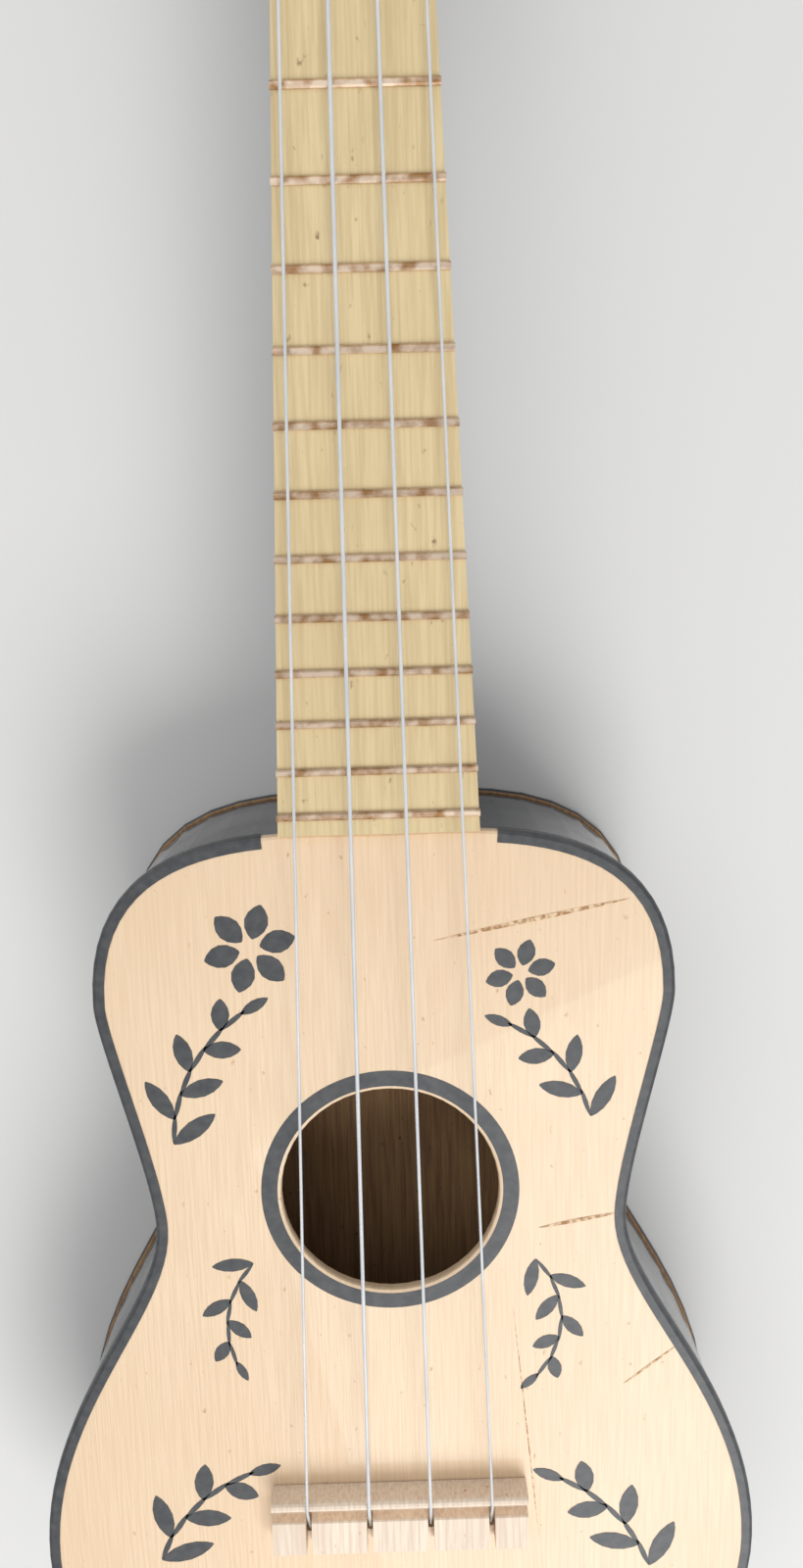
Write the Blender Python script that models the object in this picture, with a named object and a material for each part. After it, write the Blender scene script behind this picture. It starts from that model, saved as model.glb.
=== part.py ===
"""Soprano ukulele with a flat top and back, bent sides, twelve frets and four friction tuners.

It lies on its back: +Z is the soundboard's normal, +Y runs to the headstock and +X is the treble side.
The origin is the middle of the back's outer face. All sizes are in metres.
"""

import math

import bmesh
import bpy
from mathutils import Matrix, Vector

# Strings and frets
SCALE_LENGTH = 0.330
SADDLE_SETBACK = 0.0053
JOINT_PAST_TWELFTH = 0.0046
FRET_COUNT = 12
FRET_WIDTH = 0.0016
FRET_HEIGHT = 0.0009
FRET_OVERHANG = 0.0002
TANG_WIDTH = 0.0006
TANG_DEPTH = 0.0016
STRING_SPREAD_AT_NUT = 0.0282
STRING_SPREAD_AT_BRIDGE = 0.0447
STRING_DIAMETERS = {"g": 0.00070, "c": 0.00090, "e": 0.00080, "a": 0.00065}

# Body outline, measured down from its upper edge, with the pull of each curve's handles
BODY_LENGTH = 0.250
UPPER_BOUT_HALF = 0.0662
UPPER_BOUT_DOWN = 0.0388
WAIST_HALF = 0.0554
WAIST_DOWN = 0.0944
LOWER_BOUT_HALF = 0.0878
LOWER_BOUT_DOWN = 0.1837
TOP_EDGE_PULL = 0.0206
SHOULDER_PULL = 0.0442
ABOVE_WAIST_PULL = 0.0085
INTO_WAIST_PULL = 0.0130
BELOW_WAIST_PULL = 0.0214
INTO_LOWER_PULL = 0.0416
HIP_PULL = 0.0370
TAIL_PULL = 0.0500
CURVE_STEPS = 11

# Body shell and what stiffens it
BODY_DEPTH = 0.050
TOP_THICKNESS = 0.0030
BACK_THICKNESS = 0.0025
SIDE_THICKNESS = 0.0018
PLATE_OVERHANG = 0.0010
PLATE_EDGE_ROUND = 0.0008
SOUNDHOLE_RADIUS = 0.0256
SOUNDHOLE_DOWN = 0.0865
LINING_WIDTH = 0.0050
LINING_HEIGHT = 0.0080
NECK_BLOCK_HALF = 0.0240
NECK_BLOCK_LENGTH = 0.0180
TAIL_BLOCK_HALF = 0.0220
TAIL_BLOCK_LENGTH = 0.0120
BRACE_WIDTH = 0.0060
BRACE_HEIGHT = 0.0085
TOP_BRACES_DOWN = {"upper": 0.0520, "lower": 0.1240}
BACK_BRACES_DOWN = {"upper": 0.0480, "lower": 0.1660}
PATCH_HALF = 0.0370
PATCH_LENGTH = 0.0240
PATCH_THICKNESS = 0.0020
DOWEL_RADIUS = 0.0040
DOWEL_IN_HEEL = 0.0140
DOWEL_HEIGHT = 0.0250

# Neck and fretboard
FRETBOARD_RISE = 0.0025
FRETBOARD_THICKNESS = 0.0032
BOARD_HALF_AT_NUT = 0.0159
BOARD_HALF_AT_TWELFTH = 0.02205
BOARD_END_GAP = 0.0003
NECK_DEPTH_AT_NUT = 0.0145
NECK_DEPTH_AT_HEEL = 0.0170
NECK_FULLNESS = 0.80
HEEL_LENGTH = 0.0300
HEEL_REACH = 0.0600
HEEL_FOOT = 0.0030
SECTION_POINTS = 17

# Nut and headstock
NUT_THICKNESS = 0.0040
NUT_RISE = 0.0022
NUT_SLOT_RISE = 0.0016
HEAD_TILT = math.radians(8.0)
HEAD_LENGTH = 0.1000
HEAD_THICKNESS = 0.0110
HEAD_HALF = 0.0255
HEAD_TOP_HALF = 0.0240
HEAD_FLARE = 0.0250
HEAD_CROWN = 0.0150
HEAD_FULLNESS = 0.20

# Bridge: a ridge in front that the strings cross, a groove, and a slotted block behind it
BRIDGE_HALF = 0.03115
RIDGE_HEIGHT = 0.0067
RIDGE_THICKNESS = 0.0026
GROOVE_LENGTH = 0.0030
GROOVE_FLOOR = 0.0026
TIE_BLOCK_HEIGHT = 0.0060
TIE_BLOCK_LENGTH = 0.0093
BRIDGE_SLOT_WIDTH = 0.0015
BRIDGE_SLOT_FLOOR = 0.0012
KNOT_RADIUS = 0.0011
KNOT_POCKET_RADIUS = 0.0016
KNOT_POCKET_HEIGHT = 0.0030
KNOT_IN_BLOCK = 0.0050

# Friction tuners, across the headstock's thickness
POST_RADIUS = 0.0030
POST_RISE = 0.0110
POST_STEM_RADIUS = 0.0022
POST_STEM_LENGTH = 0.0060
POST_HOLE_RADIUS = 0.0008
NEAR_POST_ALONG = 0.0300
FAR_POST_ALONG = 0.0690
NEAR_POST_ASIDE = 0.0150
FAR_POST_ASIDE = 0.0160
COLLAR_SLEEVE_RADIUS = 0.0040
COLLAR_FLANGE_RADIUS = 0.0052
COLLAR_FLANGE = 0.0015
COLLAR_SLEEVE_LENGTH = 0.0050
WASHER_RADIUS = 0.0056
WASHER_THICKNESS = 0.0018
BUTTON_LENGTH = 0.0150
BUTTON_HALF_WIDTH = 0.0092
BUTTON_HALF_THICKNESS = 0.0036
BUTTON_NECK_RADIUS = 0.0046
SCREW_HEAD_RADIUS = 0.0026
SCREW_HEAD_HEIGHT = 0.0012
SCREW_SHANK_RADIUS = 0.0011
SCREW_LENGTH = 0.0120
BUTTON_ANGLES = {"g": 18.0, "c": -32.0, "e": 12.0, "a": -24.0}
ROUND_SIDES = 18

# String windings on the posts
WINDING_TURNS = 3
POINTS_PER_TURN = 16
WINDING_GAP = 0.00045
FIRST_TURN_HEIGHT = 0.0032
WRAP_ANGLE = math.radians(170.0)
STRING_TAIL = 0.0045

# Clearances
GAP = 0.0003
FRET_FIT = 0.00012
STRING_FIT = 0.00018
TURNING_FIT = 0.00025

# Levels and stations that follow from the sizes above
TOP_Z = BODY_DEPTH
TOP_UNDERSIDE = TOP_Z - TOP_THICKNESS
BODY_TOP_Y = BODY_LENGTH / 2
TAIL_Y = -BODY_LENGTH / 2
TWELFTH_Y = BODY_TOP_Y + JOINT_PAST_TWELFTH
NUT_Y = TWELFTH_Y + SCALE_LENGTH / 2
SADDLE_Y = NUT_Y - SCALE_LENGTH - SADDLE_SETBACK
BRIDGE_FRONT_Y = SADDLE_Y + RIDGE_THICKNESS / 2
HOLE_Y = BODY_TOP_Y - SOUNDHOLE_DOWN
BOARD_TOP = TOP_Z + FRETBOARD_RISE
NECK_TOP = BOARD_TOP - FRETBOARD_THICKNESS - GAP
BRIDGE_BASE = TOP_Z + GAP
RIDGE_RADIUS = RIDGE_THICKNESS / 2
BRIDGE_LENGTH = RIDGE_THICKNESS + GROOVE_LENGTH + TIE_BLOCK_LENGTH
STRING_NAMES = ("g", "c", "e", "a")


def clear_scene():
    for obj in list(bpy.data.objects):
        bpy.data.objects.remove(obj, do_unlink=True)


def material(name, color, roughness, metallic=0.0):
    made = bpy.data.materials.new(name)
    made.use_nodes = True
    shader = made.node_tree.nodes["Principled BSDF"]
    shader.inputs["Base Color"].default_value = (*color, 1.0)
    shader.inputs["Roughness"].default_value = roughness
    shader.inputs["Metallic"].default_value = metallic
    return made


def add_object(name, data, finish=None, parent=None):
    obj = bpy.data.objects.new(name, data)
    bpy.context.scene.collection.objects.link(obj)
    if finish is not None:
        data.materials.append(finish)
    obj.parent = parent
    return obj


def add_mesh(name, shape, finish=None, parent=None, smooth_below=None):
    """Turns a bmesh into an object, shaded smooth where its faces meet at less than the angle given."""
    bmesh.ops.recalc_face_normals(shape, faces=shape.faces)
    mesh = bpy.data.meshes.new(name)
    shape.to_mesh(mesh)
    shape.free()
    if smooth_below is not None:
        mesh.shade_smooth()
        mesh.set_sharp_from_angle(angle=math.radians(smooth_below))
    return add_object(name, mesh, finish, parent)


def add_prism(shape, loop, low, high):
    """Extrudes a closed loop of (x, y) points from one height to another inside a bmesh."""
    face = shape.faces.new([shape.verts.new((x, y, low)) for x, y in loop])
    pushed = bmesh.ops.extrude_face_region(shape, geom=[face])["geom"]
    risen = [item for item in pushed if isinstance(item, bmesh.types.BMVert)]
    bmesh.ops.translate(shape, verts=risen, vec=(0, 0, high - low))


def prism(name, loop, low, high, finish=None, smooth_below=None):
    shape = bmesh.new()
    add_prism(shape, loop, low, high)
    return add_mesh(name, shape, finish, smooth_below=smooth_below)


def add_box(shape, low, high):
    (x0, y0, z0), (x1, y1, z1) = low, high
    add_prism(shape, [(x0, y0), (x1, y0), (x1, y1), (x0, y1)], z0, z1)


def turned(name, profile, finish=None, parent=None, smooth_below=40.0):
    """Spins a closed outline of (radius, height) points about Z; points on the axis are merged."""
    shape = bmesh.new()
    ring = [shape.verts.new((radius, 0, height)) for radius, height in profile]
    edges = [shape.edges.new((ring[i], ring[(i + 1) % len(ring)])) for i in range(len(ring))]
    on_axis = [edge for edge in edges if max(abs(v.co.x) for v in edge.verts) < 1e-9]
    for edge in on_axis:
        edges.remove(edge)
        shape.edges.remove(edge)
    bmesh.ops.spin(
        shape, geom=ring + edges, cent=(0, 0, 0), axis=(0, 0, 1), angle=2 * math.pi,
        steps=ROUND_SIDES, use_merge=True,
    )
    bmesh.ops.remove_doubles(shape, verts=shape.verts, dist=1e-6)
    return add_mesh(name, shape, finish, parent, smooth_below)


def tube(name, points, radius, finish, parent=None, radii=None, resolution=2):
    curve = bpy.data.curves.new(name, "CURVE")
    curve.dimensions = "3D"
    curve.fill_mode = "FULL"
    curve.bevel_depth = radius
    curve.bevel_resolution = resolution
    curve.use_fill_caps = True
    spline = curve.splines.new("POLY")
    spline.points.add(len(points) - 1)
    for i, (slot, point) in enumerate(zip(spline.points, points)):
        slot.co = (*point, 1.0)
        slot.radius = 1.0 if radii is None else radii[i]
    return add_object(name, curve, finish, parent)


def cutter(name, shape, parent=None):
    obj = add_mesh(name, shape, parent=parent)
    as_cutter(obj)
    return obj


def as_cutter(obj):
    obj.hide_render = True
    obj.display_type = "WIRE"


def cut(target, tool):
    boolean = target.modifiers.new("cut_" + tool.name, "BOOLEAN")
    boolean.operation = "DIFFERENCE"
    boolean.solver = "EXACT"
    boolean.object = tool


def soften(obj, width, segments=2, angle=50.0):
    bevel = obj.modifiers.new("soft_edges", "BEVEL")
    bevel.width = width
    bevel.segments = segments
    bevel.limit_method = "ANGLE"
    bevel.angle_limit = math.radians(angle)


def smoothstep(value):
    value = min(max(value, 0.0), 1.0)
    return value * value * (3 - 2 * value)


def mix(first, second, share):
    return first + (second - first) * share


# Body outline

def bezier(a, b, c, d):
    """Points on one cubic from a towards d, without d itself."""
    points = []
    for step in range(CURVE_STEPS):
        t = step / CURVE_STEPS
        s = 1 - t
        points.append(a * s**3 + b * (3 * s * s * t) + c * (3 * s * t * t) + d * t**3)
    return points


def half_outline():
    """Treble half of the plates' outline, from the middle of the neck end round to the middle of the tail."""
    top = Vector((0, BODY_TOP_Y))
    upper = Vector((UPPER_BOUT_HALF, BODY_TOP_Y - UPPER_BOUT_DOWN))
    waist = Vector((WAIST_HALF, BODY_TOP_Y - WAIST_DOWN))
    lower = Vector((LOWER_BOUT_HALF, BODY_TOP_Y - LOWER_BOUT_DOWN))
    tail = Vector((0, TAIL_Y))
    points = bezier(top, top + Vector((TOP_EDGE_PULL, 0)), upper + Vector((0, SHOULDER_PULL)), upper)
    points += bezier(upper, upper - Vector((0, ABOVE_WAIST_PULL)), waist + Vector((0, INTO_WAIST_PULL)), waist)
    points += bezier(waist, waist - Vector((0, BELOW_WAIST_PULL)), lower + Vector((0, INTO_LOWER_PULL)), lower)
    points += bezier(lower, lower - Vector((0, HIP_PULL)), tail + Vector((TAIL_PULL, 0)), tail)
    return points + [tail]


def inset_half(inset):
    """The same half outline, moved inwards; its first and last points stay on the centre line."""
    points = half_outline()
    moved = []
    for i, point in enumerate(points):
        along = points[min(i + 1, len(points) - 1)] - points[max(i - 1, 0)]
        if i in (0, len(points) - 1):
            along = Vector((1 if i == 0 else -1, 0))
        along.normalize()
        moved.append(point + Vector((along.y, -along.x)) * inset)
    return moved


def full_loop(half):
    return [tuple(p) for p in half] + [(-p.x, p.y) for p in reversed(half[1:-1])]


def beyond(half, least_x):
    """The stretch of a half outline that lies further out than least_x, with its two ends cut exactly there."""
    kept = []
    for first, second in zip(half, half[1:]):
        if (first.x < least_x) != (second.x < least_x):
            share = (least_x - first.x) / (second.x - first.x)
            kept.append(first.lerp(second, share))
        if second.x >= least_x:
            kept.append(second)
    return kept


def end_stretch(half, most_x, at_tail):
    """The stretch of a half outline next to the centre line, from x = 0 out to most_x."""
    ordered = list(reversed(half)) if at_tail else half
    kept = [ordered[0]]
    for first, second in zip(ordered, ordered[1:]):
        if second.x >= most_x:
            kept.append(first.lerp(second, (most_x - first.x) / (second.x - first.x)))
            break
        kept.append(second)
    return kept


def half_width_at(half, y):
    for first, second in zip(half, half[1:]):
        if first.y >= y > second.y:
            return mix(first.x, second.x, (first.y - y) / (first.y - second.y))
    return 0.0


def mirrored(loop, side):
    return [(side * x, y) for x, y in loop]


# Plates, sides, linings, blocks and braces

def add_plates(finishes):
    loop = full_loop(half_outline())
    top = prism("soundboard", loop, TOP_UNDERSIDE, TOP_Z, finishes["top_wood"], smooth_below=35)
    hole = bmesh.new()
    bmesh.ops.create_cone(
        hole, cap_ends=True, segments=48, radius1=SOUNDHOLE_RADIUS, radius2=SOUNDHOLE_RADIUS,
        depth=4 * TOP_THICKNESS, matrix=Matrix.Translation((0, HOLE_Y, TOP_Z)),
    )
    cut(top, cutter("soundhole_cutter", hole))
    soften(top, PLATE_EDGE_ROUND)
    back = prism("back_plate", loop, 0, BACK_THICKNESS, finishes["black_gloss"], smooth_below=35)
    soften(back, PLATE_EDGE_ROUND)


def dowel_cutter():
    """Bore for the neck dowel, right through the block and sides and on into the heel."""
    shape = bmesh.new()
    inner_y = inset_half(PLATE_OVERHANG)[0].y - SIDE_THICKNESS - NECK_BLOCK_LENGTH
    outer_y = BODY_TOP_Y + DOWEL_IN_HEEL
    length = outer_y - inner_y + 2 * GAP
    place = Matrix.Translation((0, (inner_y + outer_y) / 2, DOWEL_HEIGHT)) @ Matrix.Rotation(math.pi / 2, 4, "X")
    bmesh.ops.create_cone(
        shape, cap_ends=True, segments=ROUND_SIDES, radius1=DOWEL_RADIUS + GAP, radius2=DOWEL_RADIUS + GAP,
        depth=length + GAP, matrix=place,
    )
    return cutter("dowel_cutter", shape)


def add_dowel(finishes):
    shape = bmesh.new()
    low = inset_half(PLATE_OVERHANG)[0].y - SIDE_THICKNESS - NECK_BLOCK_LENGTH
    high = BODY_TOP_Y + DOWEL_IN_HEEL
    place = Matrix.Translation((0, (low + high) / 2, DOWEL_HEIGHT)) @ Matrix.Rotation(math.pi / 2, 4, "X")
    bmesh.ops.create_cone(
        shape, cap_ends=True, segments=ROUND_SIDES, radius1=DOWEL_RADIUS, radius2=DOWEL_RADIUS,
        depth=high - low - GAP, matrix=place,
    )
    add_mesh("neck_dowel", shape, finishes["inner_wood"], smooth_below=40)


def add_sides(finishes, dowel_bore):
    outer = inset_half(PLATE_OVERHANG)
    inner = inset_half(PLATE_OVERHANG + SIDE_THICKNESS)
    loop = beyond(outer, GAP / 2) + list(reversed(beyond(inner, GAP / 2)))
    low = BACK_THICKNESS + GAP
    high = TOP_UNDERSIDE - GAP
    for name, side in (("rib_bass", -1), ("rib_treble", 1)):
        rib = prism(name, mirrored([tuple(p) for p in loop], side), low, high, finishes["black_gloss"], 35)
        cut(rib, dowel_bore)


def add_linings(finishes):
    """Four strips that widen the glue joint between the sides and the two plates, cut at the blocks."""
    outside = PLATE_OVERHANG + SIDE_THICKNESS + GAP
    halves = [inset_half(outside), inset_half(outside + LINING_WIDTH)]
    widest_block = max(NECK_BLOCK_HALF, TAIL_BLOCK_HALF) + GAP
    outer, inner = (beyond(half, widest_block) for half in halves)
    loop = [tuple(p) for p in outer + list(reversed(inner))]
    levels = {
        "back": (BACK_THICKNESS + GAP, BACK_THICKNESS + GAP + LINING_HEIGHT),
        "top": (TOP_UNDERSIDE - GAP - LINING_HEIGHT, TOP_UNDERSIDE - GAP),
    }
    for plate, (low, high) in levels.items():
        for place, side in (("bass", -1), ("treble", 1)):
            prism(f"{plate}_lining_{place}", mirrored(loop, side), low, high, finishes["inner_wood"], 35)


def add_blocks(finishes, dowel_bore):
    against = inset_half(PLATE_OVERHANG + SIDE_THICKNESS + GAP)
    low = BACK_THICKNESS + GAP
    high = TOP_UNDERSIDE - GAP
    sizes = (("neck_block", NECK_BLOCK_HALF, NECK_BLOCK_LENGTH, False),
             ("tail_block", TAIL_BLOCK_HALF, TAIL_BLOCK_LENGTH, True))
    for name, half_width, length, at_tail in sizes:
        stretch = end_stretch(against, half_width, at_tail)
        inner_y = stretch[0].y + (length if at_tail else -length)
        edge = [tuple(p) for p in stretch]
        loop = [(-x, y) for x, y in reversed(edge[1:])] + edge + [(half_width, inner_y), (-half_width, inner_y)]
        block = prism(name, loop, low, high, finishes["inner_wood"])
        if not at_tail:
            cut(block, dowel_bore)


def add_braces(finishes):
    inside = inset_half(PLATE_OVERHANG + SIDE_THICKNESS + GAP + LINING_WIDTH + GAP)
    for plate, places in (("top", TOP_BRACES_DOWN), ("back", BACK_BRACES_DOWN)):
        for place, down in places.items():
            y = BODY_TOP_Y - down
            reach = min(half_width_at(inside, y + s * BRACE_WIDTH / 2) for s in (-1, 1)) - GAP
            low = TOP_UNDERSIDE - GAP - BRACE_HEIGHT if plate == "top" else BACK_THICKNESS + GAP
            shape = bmesh.new()
            # The bar is highest in the middle and drops towards its ends
            tip = BRACE_HEIGHT * 0.45
            shoulder = reach * 0.72
            flat, away = (low + BRACE_HEIGHT, low) if plate == "top" else (low, low + BRACE_HEIGHT)
            tip_z = flat - tip if plate == "top" else flat + tip
            outline = [(-reach, flat), (reach, flat), (reach, tip_z), (shoulder, away), (-shoulder, away),
                       (-reach, tip_z)]
            face = shape.faces.new([shape.verts.new((x, y - BRACE_WIDTH / 2, z)) for x, z in outline])
            pushed = bmesh.ops.extrude_face_region(shape, geom=[face])["geom"]
            far = [item for item in pushed if isinstance(item, bmesh.types.BMVert)]
            bmesh.ops.translate(shape, verts=far, vec=(0, BRACE_WIDTH, 0))
            add_mesh(f"{plate}_brace_{place}", shape, finishes["inner_wood"])


def add_bridge_patch(finishes):
    middle = BRIDGE_FRONT_Y - BRIDGE_LENGTH / 2
    shape = bmesh.new()
    high = TOP_UNDERSIDE - GAP
    add_box(shape, (-PATCH_HALF, middle - PATCH_LENGTH / 2, high - PATCH_THICKNESS),
            (PATCH_HALF, middle + PATCH_LENGTH / 2, high))
    add_mesh("bridge_patch", shape, finishes["inner_wood"])


# Neck, fretboard, frets and nut

def board_half_at(y):
    """Half width of the fretboard and neck: it tapers in a straight line through the nut and the twelfth fret."""
    return mix(BOARD_HALF_AT_NUT, BOARD_HALF_AT_TWELFTH, (NUT_Y - y) / (NUT_Y - TWELFTH_Y))


def head_half_at(along):
    """Half width of the headstock: a flare above the nut, nearly straight sides and a rounded crown."""
    start = board_half_at(NUT_Y + NUT_THICKNESS)
    half = mix(start, HEAD_HALF, smoothstep(along / HEAD_FLARE))
    half -= (HEAD_HALF - HEAD_TOP_HALF) * smoothstep((along - HEAD_FLARE) / (HEAD_LENGTH - HEAD_FLARE))
    into_crown = (along - (HEAD_LENGTH - HEAD_CROWN)) / HEAD_CROWN
    if into_crown > 0:
        half *= (1 - into_crown**2.5) ** 0.4
    return half


def head_matrix():
    """Frame of the headstock's front face: origin behind the nut, Y along the head and Z out of its face."""
    return Matrix.Translation((0, NUT_Y + NUT_THICKNESS, NECK_TOP)) @ Matrix.Rotation(-HEAD_TILT, 4, "X")


def neck_section(half, depth, fullness):
    """Flat-topped D from the treble corner round the back to the bass corner; low fullness squares it."""
    points = []
    for i in range(SECTION_POINTS):
        angle = math.pi * i / (SECTION_POINTS - 1)
        across = math.copysign(abs(math.cos(angle)) ** fullness, math.cos(angle))
        points.append((half * across, -depth * math.sin(angle) ** fullness if 0 < i < SECTION_POINTS - 1 else 0.0))
    return points


def neck_stations():
    """Sections as (frame, half width, depth, fullness), from inside the body to the headstock's end."""
    stations = []
    along_heel = [-0.10, 0.0, 0.02, 0.05, 0.10, 0.17, 0.26, 0.38, 0.52, 0.70, 1.0]
    shaft = NUT_Y + NUT_THICKNESS - BODY_TOP_Y
    beyond_heel = [HEEL_LENGTH + (shaft - HEEL_LENGTH) * share for share in (0.25, 0.5, 0.75, 0.97)]
    for distance in [share * HEEL_LENGTH for share in along_heel] + beyond_heel:
        y = BODY_TOP_Y + distance
        depth = mix(NECK_DEPTH_AT_HEEL, NECK_DEPTH_AT_NUT, max(distance, 0) / shaft)
        left = 1 - min(max(distance / HEEL_LENGTH, 0.0), 1.0)
        drop = 1 - math.sqrt(1 - left * left)
        depth = mix(depth, HEEL_REACH, drop)
        frame = Matrix.Translation((0, y, NECK_TOP))
        stations.append((frame, board_half_at(y), depth, NECK_FULLNESS))
    flare = [share * HEAD_FLARE for share in (0.08, 0.25, 0.45, 0.65, 0.85, 1.0)]
    straight = [mix(HEAD_FLARE, HEAD_LENGTH - HEAD_CROWN, share) for share in (0.33, 0.67, 1.0)]
    crown = [HEAD_LENGTH - HEAD_CROWN * (1 - share) for share in (0.30, 0.50, 0.68, 0.82, 0.92, 0.98)]
    for along in flare + straight + crown:
        share = smoothstep(along / HEAD_FLARE)
        depth = mix(NECK_DEPTH_AT_NUT, HEAD_THICKNESS, share)
        frame = head_matrix() @ Matrix.Translation((0, along, 0))
        stations.append((frame, head_half_at(along), depth, mix(NECK_FULLNESS, HEAD_FULLNESS, share)))
    return stations


def add_neck(finishes, dowel_bore):
    """Shaft, heel and headstock, lofted as one piece and then cut to sit against the sides and under the top."""
    shape = bmesh.new()
    rings = []
    for frame, half, depth, fullness in neck_stations():
        section = neck_section(half, depth, fullness)
        rings.append([shape.verts.new(frame @ Vector((x, 0, z))) for x, z in section])
    for near, far in zip(rings, rings[1:]):
        for i in range(len(near)):
            j = (i + 1) % len(near)
            shape.faces.new((near[i], near[j], far[j], far[i]))
    shape.faces.new(rings[0])
    shape.faces.new(rings[-1])
    everything = shape.verts[:] + shape.edges[:] + shape.faces[:]
    foot = bmesh.ops.bisect_plane(
        shape, geom=everything, plane_co=(0, 0, HEEL_FOOT), plane_no=(0, 0, 1), clear_inner=True)
    rim = [item for item in foot["geom_cut"] if isinstance(item, bmesh.types.BMEdge)]
    bmesh.ops.holes_fill(shape, edges=rim)
    neck = add_mesh("neck", shape, finishes["black_gloss"], smooth_below=38)

    beside = bmesh.new()
    add_prism(beside, full_loop(inset_half(PLATE_OVERHANG - GAP)), -GAP, TOP_UNDERSIDE)
    cut(neck, cutter("heel_seat_cutter", beside))
    under = bmesh.new()
    add_prism(under, full_loop(inset_half(-GAP)), TOP_UNDERSIDE - GAP, TOP_Z + GAP)
    cut(neck, cutter("heel_top_cutter", under))
    cut(neck, dowel_bore)
    for name in STRING_NAMES:
        cut(neck, tuner_bore(name))


def add_fretboard(finishes):
    end_y = BODY_TOP_Y + BOARD_END_GAP
    loop = [(-board_half_at(end_y), end_y), (board_half_at(end_y), end_y),
            (board_half_at(NUT_Y), NUT_Y), (-board_half_at(NUT_Y), NUT_Y)]
    board = prism("fretboard", loop, BOARD_TOP - FRETBOARD_THICKNESS, BOARD_TOP, finishes["board_wood"])
    slots = bmesh.new()
    for number in range(1, FRET_COUNT + 1):
        y = fret_y(number)
        half = TANG_WIDTH / 2 + FRET_FIT
        add_box(slots, (-BOARD_HALF_AT_TWELFTH * 2, y - half, BOARD_TOP - TANG_DEPTH - FRET_FIT),
                (BOARD_HALF_AT_TWELFTH * 2, y + half, BOARD_TOP + FRET_HEIGHT))
    cut(board, cutter("fret_slot_cutter", slots))


def fret_y(number):
    return NUT_Y - SCALE_LENGTH * (1 - 2 ** (-number / 12))


def add_frets(finishes):
    crown = FRET_WIDTH / 2
    tang = TANG_WIDTH / 2
    base = BOARD_TOP + FRET_FIT
    high = BOARD_TOP + FRET_HEIGHT
    shoulder = FRET_HEIGHT * 0.38
    profile = [(-tang, BOARD_TOP - TANG_DEPTH), (tang, BOARD_TOP - TANG_DEPTH), (tang, base), (crown, base),
               (crown, high - shoulder), (crown * 0.55, high), (-crown * 0.55, high), (-crown, high - shoulder),
               (-crown, base), (-tang, base)]
    for number in range(1, FRET_COUNT + 1):
        y = fret_y(number)
        half = board_half_at(y) + FRET_OVERHANG
        shape = bmesh.new()
        face = shape.faces.new([shape.verts.new((-half, y + across, z)) for across, z in profile])
        pushed = bmesh.ops.extrude_face_region(shape, geom=[face])["geom"]
        far = [item for item in pushed if isinstance(item, bmesh.types.BMVert)]
        bmesh.ops.translate(shape, verts=far, vec=(2 * half, 0, 0))
        add_mesh(f"fret_{number:02d}", shape, finishes["brass"])


def string_x(name, y):
    """Sideways place of a string between the nut and the saddle."""
    place = STRING_NAMES.index(name) / (len(STRING_NAMES) - 1) - 0.5
    share = (NUT_Y - y) / (NUT_Y - SADDLE_Y)
    return place * mix(STRING_SPREAD_AT_NUT, STRING_SPREAD_AT_BRIDGE, share)


def add_nut(finishes):
    half = BOARD_HALF_AT_NUT
    low = NECK_TOP + GAP
    shape = bmesh.new()
    add_box(shape, (-half, NUT_Y + GAP, low), (half, NUT_Y + NUT_THICKNESS, BOARD_TOP + NUT_RISE))
    nut = add_mesh("nut", shape, finishes["ivory"])
    slots = bmesh.new()
    for name in STRING_NAMES:
        x = string_x(name, NUT_Y)
        reach = STRING_DIAMETERS[name] / 2 + STRING_FIT
        add_box(slots, (x - reach, NUT_Y - NUT_THICKNESS, BOARD_TOP + NUT_SLOT_RISE),
                (x + reach, NUT_Y + 2 * NUT_THICKNESS, BOARD_TOP + 2 * NUT_RISE))
    cut(nut, cutter("nut_slot_cutter", slots))


# Bridge

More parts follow.
